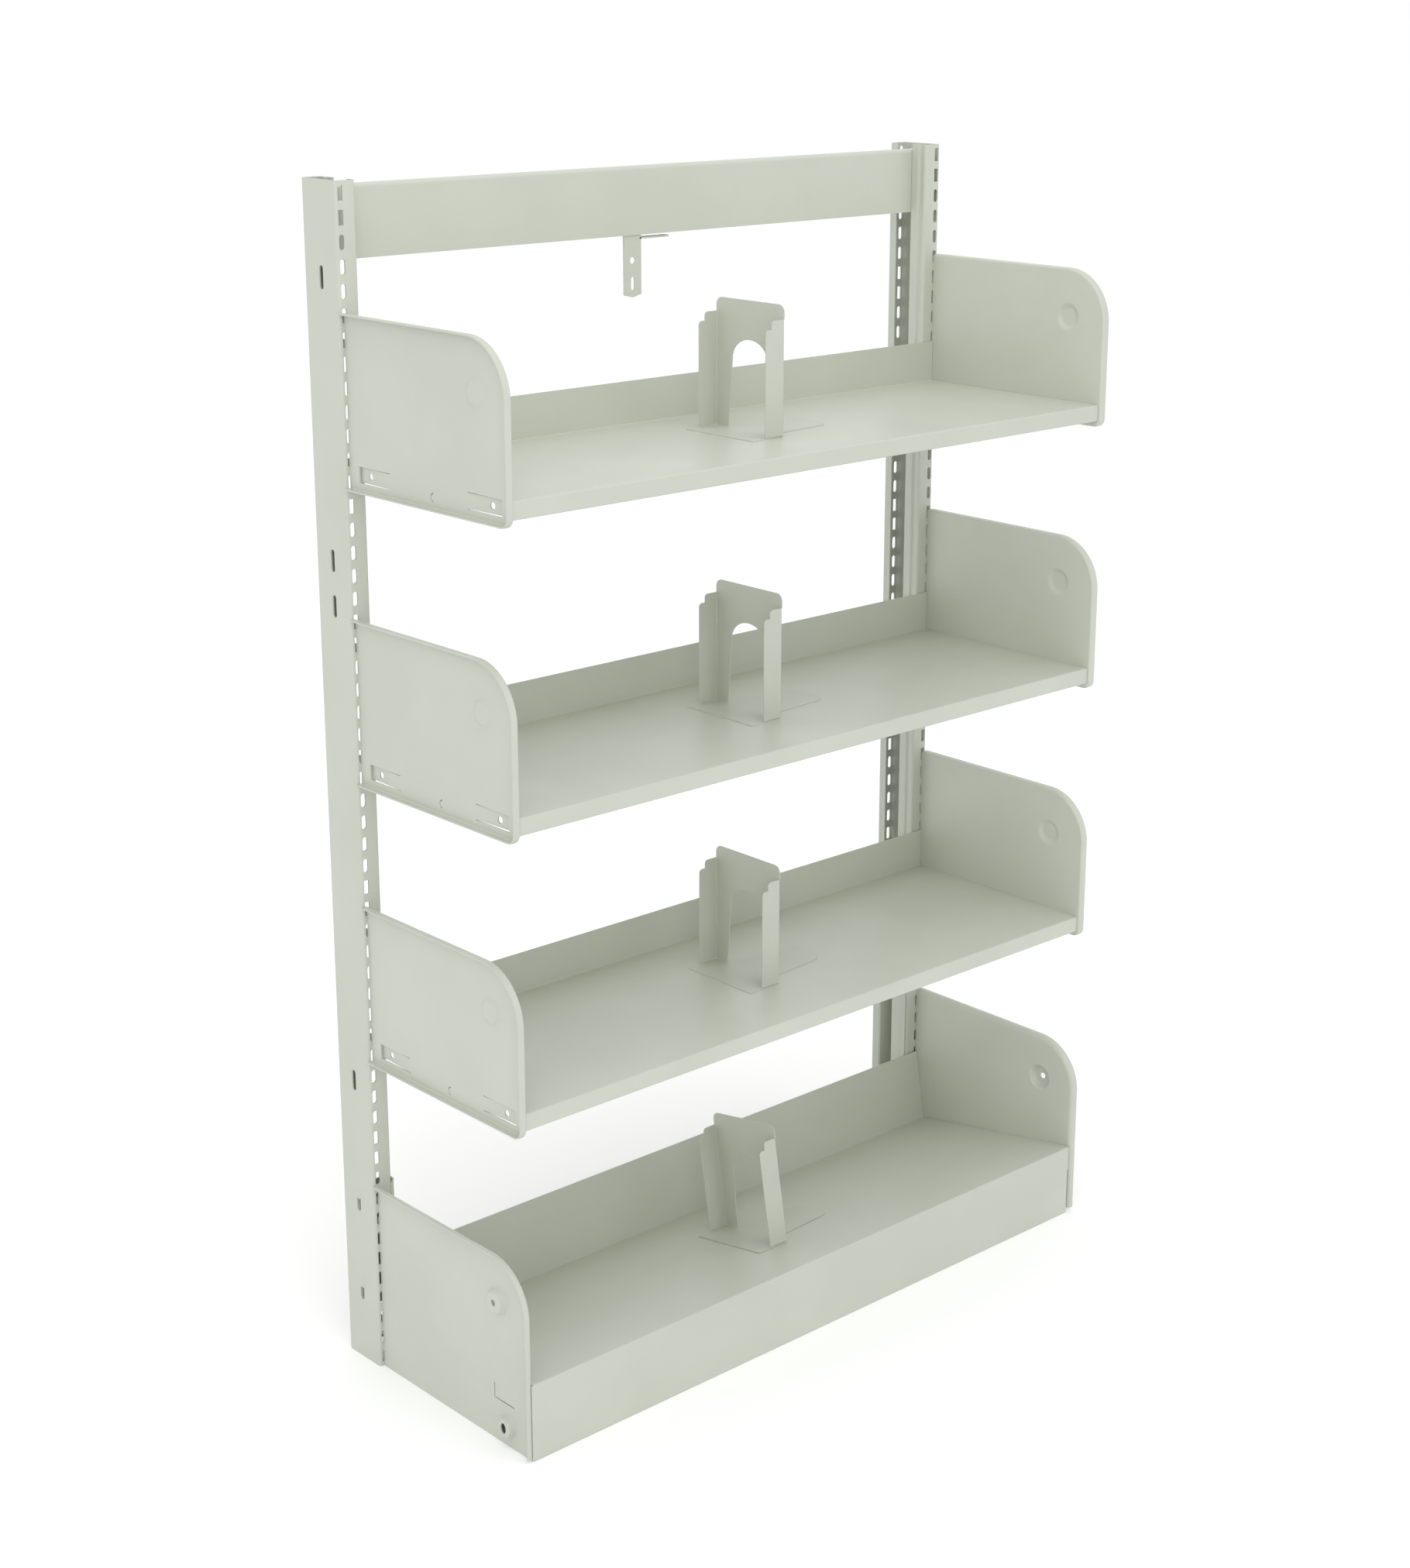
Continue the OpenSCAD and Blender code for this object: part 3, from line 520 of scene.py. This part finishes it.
def stampedDisc(centre, radius, flatRadius, height, hole=None):
    # Pressed disc: its ring falls from the flat to the plate by the smooth curve; both sides are the same
    # surface, one sheet apart. A hole leaves an open middle with a wall. Without one, a last circle half
    # way to the middle keeps the flat even.
    circle = circlePoints((0, 0), 1)
    t = np.linspace(0, 1, discSteps + 1)
    ring = (radius + (flatRadius - radius) * t)[:, None, None] * circle
    ring = np.concatenate([ring, [np.array(hole or flatRadius / 2) * circle]])
    lift = np.append(height * smooth(t), height)
    rows, cols = ring.shape[:2]
    points = alongX(ring.reshape(-1, 2) + centre, *plateSides())
    points[:, 0] -= np.tile(np.repeat(lift, cols), 2)
    side = gridFaces(rows, cols, closed=True)
    faces = side + [[i + rows * cols for i in f] for f in side]
    last = (rows - 1) * cols + np.arange(cols)
    if hole is None:
        faces += [last.tolist(), (last + rows * cols).tolist()]
    else:
        nextOne = np.roll(last, -1)
        faces += np.stack([last, nextOne, nextOne + rows * cols, last + rows * cols], -1).tolist()
    return points, faces


def pressedTongue(root, free, top):
    # A flat tongue with its hole, leaned towards the bay in proportion to the way from root to free end
    h = hungPlate
    toRoot = 1 if root > free else -1
    hole = circlePoints([free + toRoot * h["holeIn"], top - h["tongueHeight"] / 2], h["tongueHole"],
                        h["holeSteps"])
    y0, y1 = min(root, free), max(root, free)
    points, faces = flatPlate(boxPoints(y0, top - h["tongueHeight"], y1, top), [hole], *plateSides())
    points[:, 0] += h["tongueOut"] * (points[:, 1] - root) / (free - root)
    return points, faces


def hungEndPlate(node, side):
    # A plate that hangs on the post: its rim, two windows with a tongue in each, a half-round slit and a
    # disc
    h = hungPlate
    top = cornersOf(node)[1][2]
    low = top - h["height"]
    seat = top - h["seatDown"]
    firstSlot = round((postTop - top) / post["pitch"])
    path, inward = rimPath(h["reach"], top, low, plate["corner"], plate["toe"])
    disc = np.array([-h["discBack"], top - h["discDown"]])
    windows = [boxPoints(y, seat - h["tongueHeight"] - h["slit"], y + h["tongueLength"], seat + h["slit"])
               for y in (-h["backTongue"] - h["tongueLength"], -h["frontTongue"])]
    moonCentre = [-h["moonBack"], top - h["moonDown"]]
    moon = np.concatenate([arcPoints(moonCentre, h["moonRadius"], -90, 90, h["moonSteps"]),
                           arcPoints(moonCentre, h["moonRadius"] - h["moonWidth"], 90, -90, h["moonSteps"])])
    holes = [circlePoints(disc, h["discRadius"]), *windows, moon]
    points, faces = joined([
        plateWithRim(path, inward, plate["bend"], [], firstSlot, holes, openHoles=(0,)),
        stampedDisc(disc, h["discRadius"], h["discFlat"], h["discHeight"]),
        pressedTongue(-h["backTongue"] - h["tongueLength"], -h["backTongue"] - h["slit"], seat),
        pressedTongue(h["tongueLength"] - h["frontTongue"], h["slit"] - h["frontTongue"], seat),
    ])
    makePiece(node.replace("shelf_bracket", "end_plate"), onSide(points, side), faces, node)


def baseEndPlate(node, side):
    # The plate that stands on the floor: its rim, an L-shaped slit, two discs with holes and two ledges
    # whose tops follow the deck's slope
    b = basePlate
    top = cornersOf(node)[1][2]
    bend = plate["baseBend"]
    path, inward = rimPath(b["reach"], top, b["toeUp"], plate["corner"], 0)
    disc = np.array([-b["discBack"], top - b["discDown"]])
    lowDisc = np.array([-b["lowBack"], b["lowUp"]])
    y0, z0, w = -b["slitBack"], b["slitUp"], b["slitWidth"]
    y1, z1 = y0 + b["slitLength"], z0 + b["slitHeight"]
    slit = [[y0, z0], [y1, z0], [y1, z1], [y1 - w, z1], [y1 - w, z0 + w], [y0, z0 + w]]
    holes = [circlePoints(disc, b["discRadius"]), circlePoints(lowDisc, b["lowRadius"]), slit]
    foot = [[bend + plate["lap"] - b["reach"], 0], [0, 0]]
    firstSlot = math.ceil((postTop - top) / post["pitch"])
    parts = [
        plateWithRim(path, inward, bend, foot, firstSlot, holes, openHoles=(0, 1)),
        stampedDisc(disc, b["discRadius"], b["discFlat"], b["discHeight"], hole=(b["holeRadius"],) * 2),
        stampedDisc(lowDisc, b["lowRadius"], b["lowFlat"], b["discHeight"], hole=b["lowHole"]),
    ]
    inside = plateSides()[1]
    for y0 in (-b["slitBack"], -b["backLedge"]):
        y1 = y0 + b["slitLength"]
        z0, z1 = deckHeight(y0) - b["ledgeDrop"], deckHeight(y1) - b["ledgeDrop"]
        ledge = [[y0, z0 - b["ledgeHeight"]], [y1, z1 - b["ledgeHeight"]], [y1, z1], [y0, z0]]
        parts.append(flatPlate(ledge, [], inside, inside + b["ledgeWidth"]))
    points, faces = joined(parts)
    makePiece(node.replace("base_bracket", "base_end_plate"), onSide(points, side), faces, node)


for sideName in ("left", "right"):
    for number in (1, 2, 3):
        hungEndPlate("shelf_bracket_%s_%d" % (sideName, number), sideName)
    baseEndPlate("base_bracket_" + sideName, sideName)
print("end plates made")


# Shelves
pan = {
    "sheet": 1.0,
    "bend": 1.8,
    "lip": 19.9, "fold": 12.0,       # the front face, and the fold under it
    "upstand": 50.0,
    "frontIn": 3.3, "backOut": 1.2,  # from the end plate's front edge, and from the posts
    "flange": 15.0, "notchGap": 2.0,
}


def shelfPan(node):
    # A hung shelf: fold, front face, deck and upstand are one section carried along X
    p, h = pan, hungPlate
    low, high = cornersOf(node)
    t, m, z = p["sheet"], p["sheet"] / 2, high[2] - p["upstand"]
    y0 = p["frontIn"] - h["reach"]
    section = sheetSection([
        [y0 + p["fold"], z - p["lip"] + m], [y0 + m, z - p["lip"] + m], [y0 + m, z - m],
        [-p["backOut"] - m, z - m], [-p["backOut"] - m, z + p["upstand"]]], t, p["bend"])
    parts = [foldedShell(section, low[0], high[0])]
    # the ends turn down between the tongues that carry the shelf
    runs = [(-h["frontTongue"] + h["tongueLength"] + p["notchGap"],
             -h["backTongue"] - h["tongueLength"] - p["notchGap"]),
            (-h["backTongue"] + p["notchGap"], -p["backOut"] - p["notchGap"])]
    for yFrom, yTo in runs:
        for x in (low[0], high[0] - t):
            parts.append(flatPlate(boxPoints(yFrom, z - p["flange"], yTo, z - t), [], x, x + t))
    points, faces = joined(parts)
    makePiece(node.replace("shelf", "shelf_pan"), inBay(points), faces, node)


baseShelf = {
    "sheet": 1.2,
    "bend": 1.8,
    "fold": 12.0,
    "upstand": 95.0,
    "faceOver": 2.4,           # the face's left end reaches this far past the deck, over the rim's bend
    "endBend": 4.0,            # outer radius of the bend at the face's right end
    "endLength": 14.0,         # from the face back to the edge of what is bent
    "endLow": 61.6,            # that bend stops this high above the floor
    "flange": 13.0, "setback": 4.0,
    "seam": 0.004,             # between parts that touch and are kept from merging
}


def faceCorner(section):
    # The face's bend at its right end, with the deck's corner on it. The front of the section is turned
    # about the bend's upright axis; where y changes on the way, what is above the bend's foot follows the
    # deck's slope. X is the distance outwards from the axis.
    s, reach = baseShelf, basePlate["reach"]
    t, foot = s["sheet"], s["endLow"]
    axis = s["endBend"] - reach
    top = deckHeight(axis)
    second = slice(bendSteps + 2, 2 * bendSteps + 3)      # the bend between the face and the deck
    loop = np.concatenate([[[-reach, foot]], section[second],
                           [[axis, top], [axis, top - t / math.cos(deckAngle)]],
                           section[::-1][second][::-1], [[t - reach, foot]]])
    away = axis - loop[:, 0]
    a = np.radians(np.linspace(0, 90, bendSteps + 1))[:, None]
    y = axis - away * np.cos(a)
    fall = np.where(loop[:, 1] > foot, deckHeight(y) - deckHeight(loop[:, 0]), 0)
    points = np.column_stack([(away * np.sin(a)).ravel(), y.ravel(), (loop[:, 1] + fall).ravel()])
    rows, cols = y.shape
    faces = gridFaces(rows, cols, closed=True)
    return points, faces + [list(range(cols)), list(range((rows - 1) * cols, rows * cols))]


def tiltedShelf(node):
    # The base shelf: fold, tall face, sloping deck and upstand are one section carried along X, and each
    # end of the face has a form of its own
    s, reach = baseShelf, basePlate["reach"]
    low, high = cornersOf(node)
    t, m, r = s["sheet"], s["sheet"] / 2, s["endBend"]
    up = np.array([math.sin(deckAngle), math.cos(deckAngle)])
    along = np.array([up[1], -up[0]])
    faceTop = tilt["front"] - m * math.tan(deckAngle) - m / math.cos(deckAngle)
    back = np.array([tilt["backY"], tilt["back"]]) - m * up + m * along
    rear = [back, back + (s["upstand"] + m) * up]
    front = [[s["fold"] - reach, m], [m - reach, m], [m - reach, faceTop]]
    section = sheetSection(front + rear, t, s["bend"])
    x0, x1 = low[0] + s["faceOver"], high[0] - r
    parts = [foldedShell(section, x0, x1 - s["seam"])]
    # at the left: the flat end of the face, up from where the fold's bend ends
    faceFoot = section[bendSteps + 1][1]
    over = boxPoints(low[0], faceFoot, x0 - s["seam"], faceTop)
    parts.append(turned(flatPlate(over, [], -reach, t - reach), [1, 0, 2]))
    # at the right: the deck and the upstand behind the bend, the bend, and the flat that it ends in
    start = np.array([r - reach, deckHeight(r - reach)]) - m * up
    parts.append(foldedShell(sheetSection([start] + rear, t, s["bend"]), x1, high[0]))
    points, faces = faceCorner(section)
    parts.append((points + [x1, 0, 0], faces))
    y0, y1 = r - reach, s["endLength"] - reach
    returned = [[y0, s["endLow"]], [y1, s["endLow"]], [y1, deckHeight(y1) - m], [y0, deckHeight(y0) - m]]
    parts.append(flatPlate(returned, [], high[0] - t, high[0]))
    # what both ends turn down
    y0, y1 = s["fold"] + s["setback"] - reach, tilt["backY"] - s["setback"]
    z0, z1 = deckHeight(y0) - t, deckHeight(y1) - t
    flange = [[y0, z0], [y1, z1], [y1, z1 - s["flange"]], [y0, z0 - s["flange"]]]
    for x in (x0, high[0] - t):
        parts.append(flatPlate(flange, [], x, x + t))
    points, faces = joined(parts)
    makePiece("tilted_base_shelf", inBay(points), faces, node)


for shelfNumber in (1, 2, 3):
    shelfPan("shelf_%d" % shelfNumber)
tiltedShelf("base_shelf")
print("shelves made")


# Top beam and the drilled strap below it
beam = {"sheet": 1.5, "bend": 4.5}
strap = {
    "sheet": 2.0, "width": 26.0, "grip": 30.0, "drop": 71.5, "tip": 3.1,
    "holeRadius": 4.0, "holeDown": 29.0, "holeSteps": 32,
    "slotDown": 55.5, "slotWidth": 5.5, "slotHeight": 15.5,
    "tabWidth": 10.0, "tabDown": 3.0, "tabCorner": 3.0,
}


def topBeam(node):
    # A sheet folded over twice, open below, carried along X
    low, high = cornersOf(node)
    m = beam["sheet"] / 2
    y0, y1 = low[1] - frontY + m, high[1] - frontY - m
    section = sheetSection([[y0, low[2]], [y0, high[2] - m], [y1, high[2] - m], [y1, low[2]]],
                           beam["sheet"], beam["bend"])
    points, faces = foldedShell(section, low[0], high[0])
    makePiece("top_beam_sheet", inBay(points), faces, node)


def drilledStrap(node):
    # A strip with its two lower corners cut off, and a flat tab that leaves its edge under the beam
    s = strap
    low, high = cornersOf(node)
    x0, x1, y0 = low[0], low[0] + s["width"], low[1] - frontY
    beamLow = low[2] + s["drop"]
    middle = (x0 + x1) / 2
    outline = [[x0, beamLow + s["grip"]], [x0, low[2] + s["tip"]], [middle, low[2]],
               [x1, low[2] + s["tip"]], [x1, beamLow + s["grip"]]]
    holes = [circlePoints([middle, beamLow - s["holeDown"]], s["holeRadius"], s["holeSteps"]),
             longSlot([middle, beamLow - s["slotDown"]], s["slotWidth"], s["slotHeight"])]
    r = s["tabCorner"]
    tab = np.concatenate([[[x1 - s["sheet"], y0]], arcPoints([high[0] - r, y0 + r], r, -90, 0),
                          arcPoints([high[0] - r, y0 + s["tabWidth"] - r], r, 0, 90),
                          [[x1 - s["sheet"], y0 + s["tabWidth"]]]])
    tabTop = beamLow - s["tabDown"]
    points, faces = joined([
        turned(flatPlate(outline, holes, y0, y0 + s["sheet"]), [1, 0, 2]),
        turned(flatPlate(tab, [], tabTop - s["sheet"], tabTop), [1, 2, 0])])
    makePiece("drilled_strap", inBay(points), faces, node)


topBeam("top_beam")
drilledStrap("beam_hanger")
print("beam made")


# Book supports
support = {
    "sheet": 1.0,
    "bend": 2.0,
    "width": 112.0, "height": 148.6, "topCorner": 9.0,
    "footLength": 47.5,
    "archHeight": 104.0, "archWidth": 71.0, "archLean": 0.81, "archStraight": 0.79, "archSteps": 32,
    "wing": 28.5, "wingTop": 132.5, "wingLowTop": 122.5, "wingStep": 19.5, "wingCorner": 4.5,
    "x": 7.3, "y": -133.0,
    "baseY": -152.0, "baseGap": 0.3,             # the one on the tilted shelf, and its height above it
}


def archPoints(first):
    # Outline of the arched opening from one foot to the other: straight sides that lean in, then half an
    # ellipse on top. The sides start at the height first.
    s = support
    rise = s["archStraight"] * s["archHeight"]
    root, top = s["archWidth"] / 2, s["archLean"] * s["archWidth"] / 2
    start = root + (top - root) * first / rise
    crown = arcPoints((0, 0), 1, 180, 0, s["archSteps"]) * [top, s["archHeight"] - rise] + [0, rise]
    return np.concatenate([[[-start, first]], crown, [[start, first]]])


def bookSupport(number, place, surface, angle=0):
    # One sheet: a flat foot that runs on as the tongue, the plate bent up from it beside the tongue, and
    # a wing bent back from each side of the plate. Place is its middle's y.
    s = support
    t, r, half = s["sheet"], s["bend"], s["width"] / 2
    arch = archPoints(r)
    legEdge = arch[-1][0]
    c, top, wing = s["topCorner"], s["height"], s["wingTop"]
    side = half - r
    # the plate, whose sides are joined to the wings' bends below wingTop
    outline = np.concatenate([
        [[side, r], [side, wing], [half, wing]], arcPoints([half - c, top - c], c, 0, 90),
        arcPoints([c - half, top - c], c, 90, 180), [[-half, wing], [-side, wing], [-side, r]], arch])
    count = len(outline)
    plateJoins = (0, count - len(arch) - 2, count - len(arch) - 1, count - 1)
    parts = [flatPlate(outline, [], -t, 0, bare=plateJoins)]
    # the foot and the tongue
    tongue = np.column_stack([arch[:, 1], arch[:, 0]])
    tongue[[0, -1], 0] = -r
    flat = np.concatenate([[[-s["footLength"], half], [-s["footLength"], -half], [-r, -half], [-r, -side]],
                           tongue, [[-r, side], [-r, half]]])
    footJoins = (3, len(flat) - 3)
    parts.append(turned(flatPlate(flat, [], 0, t, bare=footJoins), [1, 2, 0]))
    e, step = s["wingCorner"], s["wingStep"]
    wingOutline = np.concatenate([
        [[-r, r], [-r, wing]], arcPoints([e - step, wing - e], e, 90, 180), [[-step, s["wingLowTop"]]],
        arcPoints([e - s["wing"], s["wingLowTop"] - e], e, 90, 180), [[-s["wing"], r]]])
    for sign in (-1, 1):
        leg = bendOnly([-r, r], r, t, -90, 0, legEdge, side)
        bend = bendOnly([-r, side], r, t, 0, 90, r, wing)
        wingFlat = flatPlate(wingOutline, [], half - t, half, bare=(0,))
        for part, order in ((leg, [1, 0, 2]), (bend, [1, 2, 0]), (wingFlat, [1, 0, 2])):
            points, faces = turned(part, order)
            parts.append((points * [1, sign, 1], faces))
    points, faces = joined(parts)
    x, y, z = points.T
    points = np.column_stack([x + s["x"], place + y * math.cos(angle) + z * math.sin(angle),
                              surface + z * math.cos(angle) - y * math.sin(angle)])
    makePiece("bent_support_%d" % number, inBay(points), faces, "book_support_%d" % number)


for shelfNumber in (1, 2, 3):
    bookSupport(shelfNumber, support["y"], cornersOf("shelf_%d" % shelfNumber)[1][2] - pan["upstand"])
bookSupport(4, support["baseY"], deckHeight(support["baseY"]) + support["baseGap"], deckAngle)
print("book supports made")


# Camera, fitted to the photograph: its place, its angles and its lens
camera = {
    "place": (-2.00997, -2.18389, 1.57624),      # m
    "azimuth": -42.3944, "elevation": 16.0331, "roll": 0.0723,      # degrees
    "focalPixels": 3364.3, "centre": (930.59, 934.33), "photo": (1820, 2024),
    "clipEnd": 60,              # m, past the floor's far corner
}


def addCamera(c):
    # The three axes of the camera come from its two angles, and then turn by its roll about the line of
    # sight. The lens and the shift come from the photo's pixels, as shares of its longer side.
    a, e, r = (math.radians(c[k]) for k in ("azimuth", "elevation", "roll"))
    back = Vector((math.sin(a) * math.cos(e), -math.cos(a) * math.cos(e), math.sin(e)))
    right = Vector((math.cos(a), math.sin(a), 0))
    up = back.cross(right)
    rolledRight = right * math.cos(r) + up * math.sin(r)
    rolledUp = up * math.cos(r) - right * math.sin(r)
    data = bpy.data.cameras.new("camera")
    width, height = c["photo"]
    data.lens = data.sensor_width * c["focalPixels"] / height
    data.shift_x = (width / 2 - c["centre"][0]) / height
    data.shift_y = (c["centre"][1] - height / 2) / height
    data.clip_end = c["clipEnd"]
    item = bpy.data.objects.new("camera", data)
    turn = Matrix((rolledRight, rolledUp, back)).transposed().to_4x4()
    item.matrix_world = Matrix.Translation(c["place"]) @ turn
    bpy.context.scene.collection.objects.link(item)
    bpy.context.scene.camera = item


addCamera(camera)


# Studio: a white floor and surround, and soft lamps
studio = {
    "floorSize": 60.0,          # m
    "floorSeen": 1.1,           # brightness of the floor to the camera, a burnt-out white
    "floorBounce": 0.98,        # and to the object
    "surround": 0.91,           # brightness of the surround to the object
    "surroundSeen": 1.0,        # and to the camera
    "aim": (0, 0, 0.6),         # what the lamps point at; their places and sizes are in m, their power in W
    "overhead": {"place": (-0.6, -1.2, 4.2), "size": 3.2, "power": 28},
    "front": {"place": (-2.6, -3.4, 2.6), "size": 2.6, "power": 24},
}


def addLamp(name, look, aim):
    # A square soft lamp that faces its aim
    data = bpy.data.lights.new(name, "AREA")
    data.size = look["size"]
    data.energy = look["power"]
    item = bpy.data.objects.new(name, data)
    place = Vector(look["place"])
    item.location = place
    item.rotation_euler = (Vector(aim) - place).to_track_quat("-Z", "Y").to_euler()
    bpy.context.scene.collection.objects.link(item)


def seenShare(tree):
    # 1 where the camera sees the surface, straight or in a reflection, and 0 for the light that it throws
    path = addNode(tree, "ShaderNodeLightPath")
    return addNode(tree, "ShaderNodeMath", {"operation": "MAXIMUM"},
                   _0=(path, "Is Camera Ray"), _1=(path, "Is Glossy Ray"))


def addStudio(s):
    # Floor and surround show white to the camera and light the object a little less than that
    mesh = bpy.data.meshes.new("floor")
    half = s["floorSize"] / 2
    corners = [(-half, -half, 0), (half, -half, 0), (half, half, 0), (-half, half, 0)]
    mesh.from_pydata(corners, [], [(0, 1, 2, 3)])
    floor = bpy.data.objects.new("floor", mesh)
    bpy.context.scene.collection.objects.link(floor)
    material = bpy.data.materials.new("pale_floor")
    tree = emptyTree(material)
    colour = addNode(tree, "ShaderNodeMix",
                     {"data_type": "RGBA", "_6": (*[s["floorBounce"]] * 3, 1),
                      "_7": (*[s["floorSeen"]] * 3, 1)}, _0=(seenShare(tree), 0))
    shader = addNode(tree, "ShaderNodeBsdfDiffuse", Color=(colour, 2))
    addNode(tree, "ShaderNodeOutputMaterial", Surface=(shader, "BSDF"))
    mesh.materials.append(material)

    world = bpy.data.worlds.new("surround")
    bpy.context.scene.world = world
    tree = emptyTree(world)
    strength = addNode(tree, "ShaderNodeMapRange", {"To_Min": s["surround"], "To_Max": s["surroundSeen"]},
                       Value=(seenShare(tree), 0))
    light = addNode(tree, "ShaderNodeBackground", {"Color": (1.0, 1.0, 1.0, 1.0)},
                    Strength=(strength, "Result"))
    addNode(tree, "ShaderNodeOutputWorld", Surface=(light, "Background"))
    for name in ("overhead", "front"):
        addLamp(name, s[name], s["aim"])


addStudio(studio)
bpy.context.scene.view_settings.view_transform = "Standard"
print("camera and studio set")
